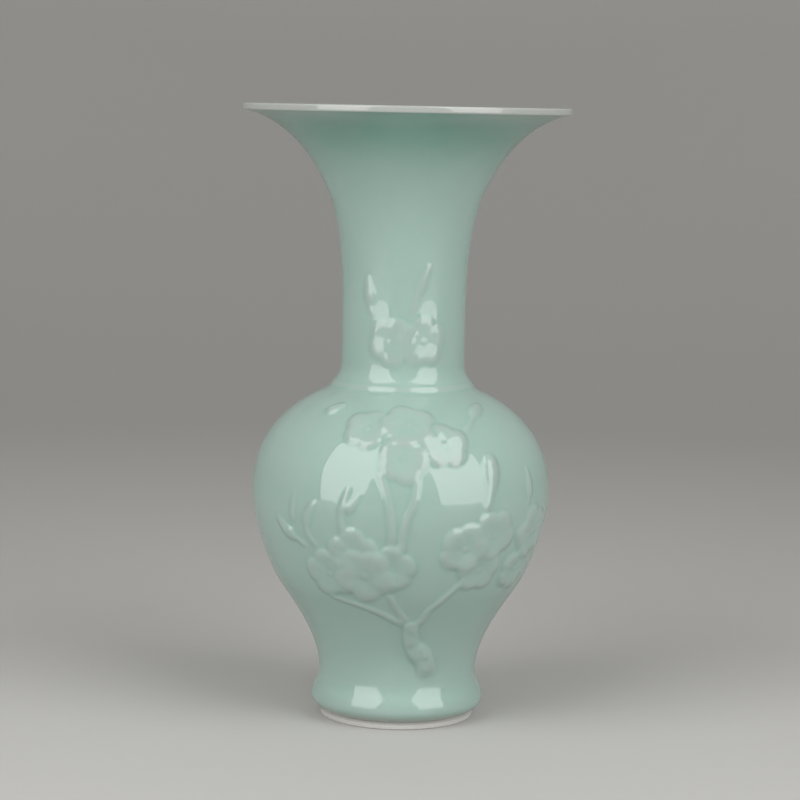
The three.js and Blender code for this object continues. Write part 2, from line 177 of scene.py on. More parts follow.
class VaseSizes(bpy.types.PropertyGroup):
    """Radii and walls of the thrown sections."""

    ring_radius: length("Foot ring", "Radius of the bare ring that the vase stands on", 37.6 * MM)
    bulge_radius: length("Foot bulge", "Radius of the glazed swelling above the foot ring", widest("foot"))
    waist_radius: length("Waist", "Radius where the foot draws in under the body", 38.8 * MM)
    swell_radius: length("Swell", "Radius half way up to the belly", 58.5 * MM)
    belly_radius: length("Belly", "Radius of the body at its widest", widest("lower_body"))
    neck_radius: length("Neck", "Radius of the straight part of the neck", 30.15 * MM)
    flare_radius: length("Flare", "Radius where the neck opens into the mouth", 38.1 * MM)
    mouth_radius: length("Mouth", "Radius of the lip", widest("trumpet_neck"))
    body_wall: length("Body wall", "Thickness of the body's clay", 4.5 * MM)
    neck_wall: length("Neck wall", "Thickness of the neck's clay at its foot", 4 * MM)
    lip_thickness: length("Lip", "Thickness of the clay at the lip", 3.2 * MM)


class VaseRelief(bpy.types.PropertyGroup):
    """Plum blossom, branches and buds laid on the wall."""

    blossom_radius: length("Blossom radius", "Radius of a blossom of full size", 12 * MM)
    blossom_height: length("Blossom height", "How far a petal's crest stands off the wall", 1.3 * MM)
    twig_half_width: length("Twig half width", "Half the width of a twig of full size", 2 * MM)
    glaze_fill: length("Glaze fill", "How far the glaze rounds over corners of the clay", 0.75 * MM)


class VaseGlaze(bpy.types.PropertyGroup):
    """Colours of the glaze and of the bare clay."""

    thin: colour("Thin glaze", "Colour where the glaze has drained off a crest or an edge", "#a4a7a3")
    plain: colour("Plain glaze", "Colour of the glaze on an even wall", "#98b0a7")
    deep: colour("Deep glaze", "Colour where the glaze pools in a hollow", "#7d9f93")
    clay: colour("Bare porcelain", "Colour of the unglazed foot ring", "#c6c5c0")


class VaseStage(bpy.types.PropertyGroup):
    """The studio: floor, lamps and camera."""

    floor: colour("Floor", "Colour of the floor and of the backdrop that it rises into", "#b4b3b0")
    softbox_power: wattage("Softbox power", "Power of each of the two tall softboxes", 15.5)
    ceiling_power: wattage("Ceiling power", "Power of the soft light overhead", 2.0)
    back_power: wattage("Back light", "Power of the soft light behind the vase", 2.5)
    fill: FloatProperty(
        name="Fill", description="Strength of the even light from all round", default=0.2, min=0)


# The skin of the vase
def sweep(low, low_slope, high, high_slope, pulls):
    """Points on a smooth curve from a low spot to a high one, both (radius, level)."""
    low, high = np.array(low), np.array(high)
    rise = high[1] - low[1]

    def leaning(slope, pull):
        lean = math.radians(slope)
        return rise * pull * np.array([math.sin(lean), math.cos(lean)])

    leave = low + leaning(low_slope, pulls[0])
    arrive = high - leaning(high_slope, pulls[1])
    share = np.linspace(0, 1, CURVE_STEPS + 1)[:, None]
    rest = 1 - share
    return (rest**3 * low + 3 * rest**2 * share * leave
            + 3 * rest * share**2 * arrive + share**3 * high)


def arc(centre, radius, first, last):
    """Points on a round of the outline, between two angles in degrees from straight out."""
    turn = np.radians(np.linspace(first, last, ARC_STEPS + 1))
    return np.array(centre) + radius * np.stack([np.cos(turn), np.sin(turn)], axis=1)


def directions(path):
    """The way along a path at each of its points."""
    along = np.gradient(path, axis=0)
    return along / np.maximum(np.hypot(along[:, 0], along[:, 1]), TINY)[:, None]


def inset(path, first, last):
    """A path moved inwards, square to itself, by a thickness that changes evenly along it."""
    along = directions(path)
    thickness = np.linspace(first, last, len(path))
    return path + np.stack([-along[:, 1], along[:, 0]], axis=1) * thickness[:, None]


def body_outside(sizes):
    waist = (sizes.waist_radius, WAIST_LEVEL)
    swell = (sizes.swell_radius, SWELL_LEVEL)
    belly = (sizes.belly_radius, BELLY_LEVEL)
    top = (SHOULDER_TOP_RADIUS, SHOULDER_LEVEL)
    lower = sweep(waist, 0, swell, SWELL_SLOPE, SWELL_PULLS)
    upper = sweep(swell, SWELL_SLOPE, belly, 0, BELLY_PULLS)
    shoulder = sweep(belly, 0, top, SHOULDER_SLOPE, SHOULDER_PULLS)
    return np.concatenate([lower, upper[1:]]), shoulder


def trumpet_outside(sizes):
    start = (sizes.neck_radius, FLARE_START_LEVEL)
    flare = (sizes.flare_radius, FLARE_LEVEL)
    mouth = (sizes.mouth_radius, RIM_LEVEL - sizes.lip_thickness)
    lower = sweep(start, 0, flare, FLARE_SLOPE, FLARE_PULLS)
    upper = sweep(flare, FLARE_SLOPE, mouth, MOUTH_SLOPE, MOUTH_PULLS)
    return np.concatenate([lower, upper[1:]])


def bell(sigma):
    """How many steps a bell curve reaches out, and its weight at each step, for a spread in steps."""
    reach = math.ceil(BELL_REACH * sigma)
    weights = np.exp(-0.5 * (np.arange(-reach, reach + 1) / sigma) ** 2)
    return reach, weights / weights.sum()


def smoothed(path, sigma):
    """A path of evenly spaced points with its corners rounded, as glaze rounds them."""
    reach, weights = bell(sigma / SKIN_STEP)
    padded = np.pad(path, ((reach, reach), (0, 0)), mode="reflect", reflect_type="odd")
    columns = [np.convolve(padded[:, i], weights, mode="valid") for i in (0, 1)]
    return np.stack(columns, axis=1)


class Skin:
    """The line that the glaze follows: up the outside, over the lip and down inside to the middle of the
    floor. A place on it is its distance from the glaze's lower edge."""

    def __init__(self, scene):
        self.marks = {}
        self.pieces = []
        self.trace(scene.vase_sizes)
        raw = np.concatenate(self.pieces)
        gaps = np.hypot(*np.diff(raw, axis=0).T)
        keep = np.concatenate([[True], gaps > SKIN_STEP / 100])
        raw = raw[keep]
        reach = np.concatenate([[0], np.cumsum(np.hypot(*np.diff(raw, axis=0).T))])
        self.up = np.arange(0, reach[-1], SKIN_STEP)
        clay = np.stack([np.interp(self.up, reach, raw[:, i]) for i in (0, 1)], axis=1)
        self.path = smoothed(clay, scene.vase_relief.glaze_fill)
        for mark, (softness, span) in ROUNDED.items():
            near = hump(self.up - self.marks[mark], span, ROUNDED_POWER)[:, None]
            self.path = self.path * (1 - near) + smoothed(clay, softness) * near
        self.along = directions(self.path)
        self.facing = np.stack([self.along[:, 1], -self.along[:, 0]], axis=1)
        drained = smoothed(clay, DRAIN_REACH) - clay
        self.pooled = (drained * self.facing).sum(axis=1)

    def trace(self, sizes):
        """Lays the stretches of the raw clay line end to end, and marks where each begins."""
        band_top = (sizes.ring_radius, BAND_LEVEL)
        bulge = (sizes.bulge_radius, BULGE_LEVEL)
        waist = (sizes.waist_radius, WAIST_LEVEL)
        self.lay("glaze_edge", [(sizes.ring_radius - GLAZE_TUCK, BAND_LEVEL), band_top])
        self.lay("bulge", sweep(band_top, BULGE_UNDER_SLOPE, bulge, 0, BULGE_PULLS))
        self.lay("draw_in", sweep(bulge, 0, waist, 0, WAIST_PULLS))
        body, shoulder = body_outside(sizes)
        self.lay("body", body)
        self.lay("belly", shoulder)
        collar_radius = SHOULDER_TOP_RADIUS - COLLAR_SETBACK
        bead = arc((collar_radius - COLLAR_HALF, COLLAR_LEVEL - COLLAR_HALF), COLLAR_HALF, *COLLAR_ARC)
        self.lay("collar", bead)
        neck_foot = (sizes.neck_radius, NECK_LEVEL)
        start = (collar_radius - COLLAR_STEP, COLLAR_LEVEL)
        self.lay("neck", sweep(start, FILLET_SLOPE, neck_foot, 0, FILLET_PULLS))
        trumpet = trumpet_outside(sizes)
        self.lay("trumpet", trumpet)
        corner = (sizes.mouth_radius - LIP_ROUND, RIM_LEVEL - LIP_ROUND)
        self.lay("lip", arc(corner, LIP_ROUND, 0, 90))
        neck, belly = np.concatenate([[neck_foot], trumpet]), np.concatenate([body, shoulder[1:]])
        inside_neck = inset(neck, sizes.neck_wall, sizes.lip_thickness)
        inside_body = inset(belly, sizes.body_wall, sizes.body_wall)
        throat = sweep(inside_body[-1], SHOULDER_SLOPE, inside_neck[0], 0, THROAT_PULLS)
        self.lay("mouth_inside", inside_neck[::-1])
        self.lay("throat", throat[::-1])
        self.lay("body_inside", inside_body[::-1])
        bore = sizes.waist_radius - sizes.body_wall
        well = arc((bore - FLOOR_FILLET, FLOOR_LEVEL + FLOOR_FILLET), FLOOR_FILLET, 0, -90)
        self.lay("well", [(bore, WAIST_LEVEL), *well, (0, FLOOR_LEVEL)])

    def lay(self, name, points):
        points = np.array(points)
        laid = np.concatenate(self.pieces + [points[:1]])
        self.marks[name] = np.hypot(*np.diff(laid, axis=0).T).sum()
        self.pieces.append(points)

    def at(self, values, up):
        """A pair of values, kept for each point of the skin, at some distances along it."""
        return np.stack([np.interp(up, self.up, values[:, i]) for i in (0, 1)], axis=-1)

    def level_up(self, level, first, last):
        """The distance at which the skin passes a level, between two distances."""
        part = (self.up >= first) & (self.up <= last)
        levels, ups = self.path[part, 1], self.up[part]
        order = np.argsort(levels)
        return float(np.interp(level, levels[order], ups[order]))


# Relief

# How a blossom is shaped, as shares of its radius or its height: petals are cups with a dished middle, a vein
# and a ruffled edge, round a boss with a ring of stamens
PETALS = 5
PETAL_REACH = 0.535
PETAL_ROUND = 0.475
PETAL_WIDEN = 1.07
PETAL_EDGE_POWER = 2.6
CUP_FLOOR = 0.56
CUP_RISE = (0.2, 0.82)
PETAL_DISH = 0.12
DISH_WIDTH = 0.5
VEIN_DEPTH = 0.05
VEIN_WIDTH = 0.05
VEIN_END = 0.6
RUFFLE = 0.035
RUFFLES = 3
PETAL_LIFTS = (0.16, 0.0, 0.22, 0.06, 0.12)
PETAL_VARIETY = 0.06
BOSS_SHARE = 0.16
BOSS_HEIGHT = 0.66
BOSS_MOAT = (-0.03, 0.22)
STAMENS = 16
STAMEN_SLIMNESS = 4
STAMEN_RIDGE = 0.04
STAMEN_SPAN = (0.17, 0.42)
STAMEN_FADE = 0.05
ANTHER_HEIGHT = 0.05
ANTHER_WIDTH = 0.035
BLOSSOM_WINDOW = 1.2

# How the walls differ: the neck's sprig stands lower, its glaze rounds it over further and leaves it paler
WALL_FULLNESS = {"body": 1.0, "neck": 0.6}
WALL_FILL = {"body": 1.0, "neck": 1.3}
WALL_PALENESS = {"body": 1.0, "neck": 3.0}

# How strips are shaped: half-round on a thin base, rising out of the wall at the root, with bark where they
# are thickest. Buds and the trunk's knot swell; a skew over 1 puts a bud's widest place near its tip
STRIP_FULLNESS = 0.36
STRIP_BASE = 0.3 * MM
STRIP_SAMPLES = 64
ROOT_FADE = 0.22
BARK_GRAIN = 0.9 * MM
BARK_HEIGHT = 0.16 * MM
BARK_FROM = (2.6 * MM, 3.6 * MM)
BUD_TIP = 0.25
BUD_SKEW = 0.75
OPEN_SKEW = 1.8
STEM_TAPER = 0.4
KNOT_SWELL = 0.5
KNOT_SPAN = 0.13
LEAST_HALF = 0.15 * MM
STRIP_WINDOW = 1.1

# How far a sprig rides up on what lies under it, over how soft a bed, and the seed of the random draws
SUPPORT = 0.55
SUPPORT_SOFTNESS = 1.5 * MM
SEED = 7

# Glaze: how deep it is on an even wall, how strongly it fills corners and hollows and leaves crests, near by
# and wide round, and how thin it may get. It is thin over the lip and at its lower edge. Under the lip a
# deeper, darker band is painted shade. Its depth gives its colour and doesn't move its surface
GLAZE_DEPTH = 0.6 * MM
POOLING = 0.7
DRAIN = 0.26
CREST_DRAIN = 0.045
DRAIN_REACH = 1.6 * MM
FAR_FILL = 2.2
FAR_SHARE = 0.1
LEAST_POOLED = -0.13 * MM
LEAST_DEPTH = 0.05 * MM
LIP_DRAIN_UNDER = (2.5 * MM, 3.2 * MM)
LIP_DRAIN_OVER = (3.4 * MM, 6 * MM)
EDGE_THIN = 0.2
EDGE_SPAN = (1.6 * MM, 7.5 * MM)
# Painted shade under the lip, laid in as extra glaze depth: how much, how far below the lip, and how wide
UNDER_LIP_SHADE = 0.72 * MM
UNDER_LIP_SHADE_PLACE = 24 * MM
UNDER_LIP_SHADE_SPAN = 20 * MM

# Where the glaze rounds the clay over more or less than elsewhere: how much, and how far along the skin,
# with the power that makes the change even in the middle and soft at its ends
ROUNDED = {"collar": (2.5 * MM, 6 * MM), "lip": (0.35 * MM, 8 * MM)}
ROUNDED_POWER = 4


def hump(value, width, power=2):
    """1 in the middle, falling off to 0 past a width."""
    return np.exp(-((value / width) ** power))


def smoothstep(low, high, value):
    share = np.clip((value - low) / (high - low), 0, 1)
    return share * share * (3 - 2 * share)


def taper(root, tip):
    """A branch that narrows evenly."""
    return lambda share: root + (tip - root) * share


def knotted(root, tip, knot):
    """A branch that narrows evenly but for a knot."""
    even = taper(root, tip)
    return lambda share: even(share) + KNOT_SWELL * hump(share - knot, KNOT_SPAN)


def swelling(share, skew=BUD_SKEW):
    return np.sin(np.pi * np.power(share, skew))


def bud(half):
    """A bud by itself, widest near its root."""
    return lambda share: half * swelling(share) + BUD_TIP / 2


def budding(stem, half, start, skew=BUD_SKEW):
    """A stem that ends in a bud, which opens when it is widest near its tip."""
    def girth(share):
        swell = np.where(share < start, 0, swelling(np.clip((share - start) / (1 - start), 0, 1), skew))
        return stem * (1 - STEM_TAPER * (share - start)) + (half - stem) * swell
    return girth


def flower(node, angle, up, size, turn):
    return {"node": node, "angle": math.radians(angle), "up": up / 100, "size": size,
            "turn": math.radians(turn)}


def strip(node, girth, *route):
    return {"node": node, "girth": girth,
            "route": np.array([(math.radians(angle), up / 100) for angle, up in route])}


# The relief, from the top layer down, as in the CAD: a blossom's angle in degrees, its place in per cent
# of the wall's height, its size and its turn, and a strip's girth and its route of such places
NECK_RELIEF = [
    flower("neck_blossom_right", 19, 14.3, 1.04, 20),
    flower("neck_blossom_left", -11.5, 14, 1, 60),
    strip("neck_bud_left", budding(0.55, 1.5, 0.4), (-29, 21), (-33, 25), (-34, 29), (-35.5, 34)),
    strip("neck_shoot_right", budding(0.7, 1.15, 0.6), (6, 21), (10, 26.4), (14, 30.2), (22, 37.4)),
]
BODY_RELIEF = [
    flower("shoulder_blossom_middle", 3, 84.7, 1.16, 36),
    flower("shoulder_blossom_left", -16, 83.2, 1, 0),
    flower("shoulder_blossom_right", 18.5, 78.1, 1.02, 18),
    flower("shoulder_blossom_lower", 1, 73.8, 1.04, 0),
    strip("shoulder_bud_left", bud(1.6), (-44, 88), (-36.5, 92.6)),
    strip("shoulder_bud_right", budding(0.55, 1.5, 0.5), (30, 82), (37, 86), (44, 89.6), (54, 92.6)),

    flower("left_blossom_front", -14, 38.8, 1.28, 54),
    flower("left_blossom_right", -3.5, 41.4, 1.04, 12),
    flower("left_blossom_outer", -29.5, 38.6, 1.08, 30),
    flower("left_blossom_back", -18, 45.4, 1.12, 18),
    strip("left_group_bud", bud(1.1), (-1.5, 44.5), (1.5, 49.8)),

    flower("right_blossom_front", 26, 47.3, 1.08, 0),
    flower("right_blossom_upper", 38.5, 50.8, 1.05, 54),
    flower("right_blossom_lower", 34.5, 40.2, 1, 18),
    flower("side_blossom_upper", 62.5, 49.8, 1.14, 36),
    flower("side_blossom_lower", 56.5, 38.8, 0.97, 0),

    strip("trunk", knotted(2.6, 1.75, 0.5),
          (22.5, 1.5), (20.5, 5), (17, 8.4), (12, 11.4), (8.5, 14), (7, 20)),
    strip("branch_left", taper(1.2, 0.7), (4, 20.5), (-1, 22.4), (-9, 25.4), (-19, 28.1), (-31, 30.5)),
    strip("branch_middle", taper(1, 0.7), (5, 21.5), (0, 26.6), (-4, 32)),
    strip("branch_right", taper(1.1, 0.8), (8, 20), (12, 22.4), (15, 26.6), (21, 31.2), (27, 36)),

    strip("shoot_middle_left", taper(1.05, 0.75), (-3, 46), (-2.8, 53), (-3.6, 59), (-5.2, 64.2), (-7.5, 69)),
    strip("shoot_middle_right", taper(1, 0.8), (0, 46), (2, 55.5), (5, 61.4), (6, 67)),
    strip("shoot_left_outer", budding(0.7, 1.15, 0.5), (-33, 46), (-37, 50.5), (-37, 55), (-34, 59.8)),
    strip("shoot_left_inner", budding(0.75, 1, 0.5), (-21, 51), (-22, 55), (-21.5, 59), (-19.5, 64.8)),
    strip("bud_left_inner", bud(0.9), (-20, 57.6), (-15.4, 63)),
    strip("bud_left_slim", bud(0.7), (-44, 53), (-44, 57.9), (-43, 62.4)),
    strip("bud_left_edge", budding(0.65, 1.8, 0.5), (-38, 46), (-42, 48), (-47, 50), (-53, 54)),
    strip("bud_right_half_open", budding(0.7, 2.1, 0.35, OPEN_SKEW),
          (33, 57), (35.5, 62), (37, 67), (38.5, 74)),
    strip("bud_right_pointed", budding(0.55, 1.45, 0.35), (55, 57.8), (57, 60.4), (57.5, 64), (58, 69)),
]
RELIEF = {"neck": NECK_RELIEF, "body": BODY_RELIEF}


def blurred(grid, row_sigma, column_sigma):
    """A grid softened by a bell curve, with its spread in cells."""
    for axis, sigma in ((0, row_sigma), (1, column_sigma)):
        reach, weights = bell(sigma)
        grid = sum(weight * np.roll(grid, i - reach, axis) for i, weight in enumerate(weights))
    return grid


def catmull(route, shares):
    """Points on a smooth curve through the spots of a route."""
    last = len(route) - 1
    place = shares * last
    first = np.minimum(place.astype(int), last - 1)
    share = (place - first)[:, None]
    before, here, there, after = (route[np.clip(first + step, 0, last)] for step in (-1, 0, 1, 2))
    leave, arrive = (there - before) / 2, (after - here) / 2
    return ((2 * here - 2 * there + leave + arrive) * share**3
            + (3 * there - 3 * here - 2 * leave - arrive) * share**2 + leave * share + here)


class Relief:
    """Heights off one wall of the vase on an even grid of angles and distances, first of the clay and then
    of the glaze that flows over it, and how deep the glaze is."""

    def __init__(self, skin, look, wall, first, last):
        self.look = look
        self.fullness = WALL_FULLNESS[wall]
        self.fill = look.glaze_fill * WALL_FILL[wall]
        self.crest_drain = CREST_DRAIN * WALL_PALENESS[wall]
        self.first, self.length = first, last - first
        self.ups = np.arange(first, last, GRID_UP)
        left, right = BODY_SPAN[0] - GRID_MARGIN, BODY_SPAN[1] + GRID_MARGIN
        self.angles = np.radians(np.arange(left, right, GRID_ANGLE))
        self.radius = skin.at(skin.path, self.ups)[:, :1]
        self.clay = np.zeros((len(self.ups), len(self.angles)))
        self.random = np.random.default_rng(SEED)
        for item in reversed(RELIEF[wall]):
            if "girth" in item:
                self.lay_strip(item)
            else:
                self.lay_blossom(item)
        self.glaze()

    def spread(self, sigma):
        """A distance on the wall as numbers of rows and columns."""
        column = math.radians(GRID_ANGLE) * float(self.radius.mean())
        return sigma / GRID_UP, sigma / column

    def window(self, angles, ups, reach):
        """The cells within reach of some spots."""
        band = slice(*np.searchsorted(self.ups, (min(ups) - reach, max(ups) + reach)))
        wide = reach / self.radius[band].min()
        return band, slice(*np.searchsorted(self.angles, (min(angles) - wide, max(angles) + wide)))

    def aside(self, cells, angle, up):
        """How far across and up from a spot some cells are."""
        across = (self.angles[None, cells[1]] - angle) * self.radius[cells[0]]
        return across, np.broadcast_to(self.ups[cells[0], None] - up, across.shape)

    def press(self, cells, height, covered):
        """Lays a sprig over the clay, which it half sinks into."""
        under = self.clay[cells]
        bed = blurred(under, *self.spread(SUPPORT_SOFTNESS)) * SUPPORT
        self.clay[cells] = np.where(covered, np.maximum(height, 0) + bed, under)

    def lay_blossom(self, item):
        radius = self.look.blossom_radius * item["size"]
        tall = self.look.blossom_height * self.fullness
        up = self.first + item["up"] * self.length
        cells = self.window([item["angle"]], [up], BLOSSOM_WINDOW * radius)
        across, upward = self.aside(cells, item["angle"], up)
        share = np.hypot(across, upward) / radius
        around = np.arctan2(upward, across)
        cup = CUP_FLOOR + (1 - CUP_FLOOR) * smoothstep(*CUP_RISE, share)
        moat = smoothstep(*BOSS_MOAT, share)
        height = np.zeros_like(share)
        covered = share < BOSS_SHARE
        for petal in range(PETALS):
            turn = item["turn"] + 2 * math.pi * petal / PETALS
            vary, phase = self.random.uniform(-1, 1, 2)
            out = (across * math.cos(turn) + upward * math.sin(turn)) / radius - PETAL_REACH
            side = (upward * math.cos(turn) - across * math.sin(turn)) / radius
            ruffle = 1 + RUFFLE * np.sin(RUFFLES * np.arctan2(side, out) + math.pi * phase)
            wide = PETAL_ROUND * (1 + PETAL_VARIETY * vary) * ruffle
            edge = np.hypot(out, side / PETAL_WIDEN) / wide
            crest = (1 - np.clip(edge, 0, 1) ** PETAL_EDGE_POWER) ** 0.5
            dish = PETAL_DISH * hump(edge, DISH_WIDTH)
            vein = VEIN_DEPTH * hump(side, VEIN_WIDTH) * smoothstep(1, VEIN_END, edge)
            shape = (cup - dish - vein + PETAL_LIFTS[petal] * crest) * crest * moat
            height = np.maximum(height, np.where(edge < 1, shape, 0))
            covered |= edge < 1
        filament = np.clip(np.cos(STAMENS * around), 0, 1) ** STAMEN_SLIMNESS
        low, high = STAMEN_SPAN
        along = smoothstep(low, low + STAMEN_FADE, share) * smoothstep(high, high - STAMEN_FADE, share)
        height += STAMEN_RIDGE * filament * along
        height += ANTHER_HEIGHT * filament * hump(share - high, ANTHER_WIDTH)
        boss = BOSS_HEIGHT * np.sqrt(np.clip(1 - (share / BOSS_SHARE) ** 2, 0, 1))
        self.press(cells, np.maximum(height, boss) * tall, covered)

    def lay_strip(self, item):
        shares = np.linspace(0, 1, STRIP_SAMPLES)
        course = catmull(item["route"], shares)
        angles, ups = course[:, 0], self.first + course[:, 1] * self.length
        halves = np.maximum(item["girth"](shares) * self.look.twig_half_width, LEAST_HALF)
        cells = self.window(angles, ups, STRIP_WINDOW * halves.max())
        radius = np.interp(ups, self.ups, self.radius[:, 0])
        nearest = np.full((len(self.ups[cells[0]]), len(self.angles[cells[1]])), np.inf)
        half = np.full_like(nearest, LEAST_HALF)
        place = np.zeros_like(nearest)
        for i in range(STRIP_SAMPLES - 1):
            across, upward = self.aside(cells, angles[i], ups[i])
            run = np.array([(angles[i + 1] - angles[i]) * radius[i], ups[i + 1] - ups[i]])
            share = np.clip((across * run[0] + upward * run[1]) / (run @ run), 0, 1)
            width = halves[i] + (halves[i + 1] - halves[i]) * share
            off = np.hypot(across - share * run[0], upward - share * run[1]) / width
            closer = off < nearest
            nearest = np.where(closer, off, nearest)
            half = np.where(closer, width, half)
            place = np.where(closer, (i + share) / (STRIP_SAMPLES - 1), place)
        covered = nearest < 1
        round_top = np.sqrt(np.clip(1 - nearest**2, 0, 1))
        bark = blurred(self.random.normal(size=nearest.shape), *self.spread(BARK_GRAIN))
        bark *= BARK_HEIGHT / bark.std() * smoothstep(*BARK_FROM, half) * round_top
        height = STRIP_BASE * round_top**0.5 + STRIP_FULLNESS * half * round_top + bark
        self.press(cells, height * self.fullness * smoothstep(0, ROOT_FADE, place), covered)

    def glaze(self):
        """Lets the glaze round the clay over, leave its crests and fill its hollows."""
        close = blurred(self.clay, *self.spread(self.fill))
        far = blurred(self.clay, *self.spread(self.fill * FAR_FILL))
        self.height = close * (1 - FAR_SHARE) + far * FAR_SHARE
        near = self.height - self.clay
        wide = blurred(self.clay, *self.spread(DRAIN_REACH)) - self.clay
        pooled = POOLING * near + DRAIN * wide - self.crest_drain * self.clay
        self.pooled = blurred(np.maximum(pooled, LEAST_POOLED), *self.spread(self.fill / 2))

    def sample(self, grid, angle, up):
        """A grid's values between its cells, and nothing past its edges."""
        row = (up - self.ups[0]) / GRID_UP
        column = (angle - self.angles[0]) / math.radians(GRID_ANGLE)
        inside = ((row >= 0) & (row < len(self.ups) - 1)
                  & (column >= 0) & (column < len(self.angles) - 1))
        row, column = np.where(inside, row, 0), np.where(inside, column, 0)
        i, j = row.astype(int), column.astype(int)
        a, b = row - i, column - j
        value = (grid[i, j] * (1 - a) * (1 - b) + grid[i + 1, j] * a * (1 - b)
                 + grid[i, j + 1] * (1 - a) * b + grid[i + 1, j + 1] * a * b)
        return np.where(inside, value, 0)


# Meshes
def rows(first, last, step):
    """Even distances along the skin, no further apart than a step."""
    return np.linspace(first, last, max(2, math.ceil(abs(last - first) / step) + 1))


def turned(outline, ups, start, arcs, closed):
    """A bmesh of an outline spun round Z, in one or more arcs of (degrees, steps) that make a full turn.
    Each vertex keeps its distance along the skin, or -1 off it."""
    bm = bmesh.new()
    up_layer = bm.verts.layers.float.new("up")
    start = math.radians(start)
    for (radius, level), up in zip(outline, ups):
        vert = bm.verts.new((radius * math.sin(start), -radius * math.cos(start), level))
        vert[up_layer] = up
    verts = list(bm.verts)
    following = verts[1:] + verts[:1] if closed else verts[1:]
    edges = [bm.edges.new(pair) for pair in zip(verts, following)]
    geom = verts + edges
    for angle, steps in arcs:
        made = bmesh.ops.spin(
            bm, geom=geom, cent=(0, 0, 0), axis=(0, 0, 1), angle=math.radians(angle), steps=steps,
            use_merge=len(arcs) == 1)
        geom = made["geom_last"]
    bmesh.ops.remove_doubles(bm, verts=bm.verts, dist=WELD)
    bmesh.ops.recalc_face_normals(bm, faces=bm.faces)
    for face in bm.faces:
        face.smooth = True
    return bm


def read(data, name, size):
    """A property of every item of a mesh, as an array."""
    values = np.empty(len(data) * size, np.float32)
    data.foreach_get(name, values)
    return values.reshape(-1, size) if size > 1 else values


def in_scene(name, data):
    """An object with its data, put in the scene."""
    made = bpy.data.objects.new(name, data)
    bpy.context.scene.collection.objects.link(made)
    return made


def mesh_of(bm, name):
    mesh = bpy.data.meshes.new(name)
    bm.to_mesh(mesh)
    bm.free()
    return mesh


def glazed_piece(bm, name, skin, relief, seams, nodes):
    """Makes a glazed piece of a turned bmesh: lifts the relief on it, notes the depth of the glaze with the
    painted shade under the lip, and turns the shading at its seams the way that the glaze faces, so that
    pieces meet without a line."""
    mesh = mesh_of(bm, name)
    spots = read(mesh.vertices, "co", 3).astype(float)
    ups = read(mesh.attributes["up"].data, "value", 1).astype(float)
    angles = np.arctan2(spots[:, 0], -spots[:, 1])
    facing = skin.at(skin.facing, ups)
    if relief:
        height = relief.sample(relief.height, angles, ups)
        out = facing[:, 0] * height
        spots += np.stack([out * np.sin(angles), -out * np.cos(angles), facing[:, 1] * height], axis=1)
        mesh.vertices.foreach_set("co", spots.astype(np.float32).ravel())
    depth = mesh.attributes.new("glaze_and_shade_depth", "FLOAT", "POINT")
    depth.data.foreach_set("value", glaze_and_shade_depths(skin, relief, angles, ups).astype(np.float32))
    mesh.update()
    mesh.normals_split_custom_set_from_vertices(seam_normals(skin, relief, seams, angles, ups))
    placed(mesh, name, celadon_glaze(bpy.context.scene.vase_glaze), nodes)


def glaze_and_shade_depths(skin, relief, angles, ups):
    """How deep the glaze is at some places, with painted shade under the lip added as more depth. Under the
    foot, which is off the skin, it is plain.
    """
    depth = GLAZE_DEPTH + DRAIN * np.interp(ups, skin.up, skin.pooled)
    if relief:
        depth += relief.sample(relief.pooled, angles, ups)
    past_lip = ups - skin.marks["lip"]
    # Painted shade under the lip: the glaze is counted deeper there, which darkens its colour
    depth += UNDER_LIP_SHADE * hump(past_lip + UNDER_LIP_SHADE_PLACE, UNDER_LIP_SHADE_SPAN)
    depth *= smoothstep(*LIP_DRAIN_UNDER, -past_lip) + smoothstep(*LIP_DRAIN_OVER, past_lip)
    depth *= EDGE_THIN + (1 - EDGE_THIN) * smoothstep(*EDGE_SPAN, ups)
    return np.where(ups < 0, GLAZE_DEPTH, np.maximum(depth, LEAST_DEPTH))


def seam_normals(skin, relief, seams, angles, ups):
    """The way that the glaze faces at the seams, and nothing elsewhere, which leaves Blender's own."""
    facing, along = skin.at(skin.facing, ups), skin.at(skin.along, ups)
    radius = np.maximum(skin.at(skin.path, ups)[:, 0], MM)
    upward, sideways = np.zeros(len(ups)), np.zeros(len(ups))
    if relief:
        def height(turn, step):
            return relief.sample(relief.height, angles + turn, ups + step)

        turn = GRID_UP / radius
        upward = (height(0, GRID_UP) - height(0, -GRID_UP)) / (2 * GRID_UP)
        sideways = (height(turn, 0) - height(-turn, 0)) / (2 * GRID_UP)
    out = facing[:, 0] - upward * along[:, 0]
    level = facing[:, 1] - upward * along[:, 1]
    normals = np.stack([
        out * np.sin(angles) - sideways * np.cos(angles),
        -out * np.cos(angles) - sideways * np.sin(angles),
        level], axis=1)
    normals /= np.linalg.norm(normals, axis=1)[:, None]
    at_seam = np.min([np.abs(ups - seam) for seam in seams], axis=0) < SKIN_STEP / 2
    return np.where(at_seam[:, None], normals, 0).tolist()


def placed(mesh, name, material, nodes):
    """Puts a finished mesh in the scene: it moves with the vase and stands for its CAD nodes."""
    piece = in_scene(name, mesh)
    mesh.materials.append(material)
    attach(piece, "root")
    if nodes:
        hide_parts(*nodes)


def column_arcs(span, column):
    """Arcs of close columns over a span of angles and of plain ones round the rest."""
    front = span[1] - span[0]
    rest = 360 - front
    return [(front, round(front / column)), (rest, round(rest / PLAIN_COLUMN))]


def relief_nodes(wall, low, high):
    """CAD nodes of relief on a wall whose middle lies between two levels."""
    return [item["node"] for item in RELIEF[wall] if low <= middle_level(item["node"]) < high]


def section_outline(skin, outer, inner):
    """The closed outline of a piece of wall: up its outside rows, and down its inside ones."""
    ups = np.concatenate([outer, inner])
    return skin.at(skin.path, ups), ups


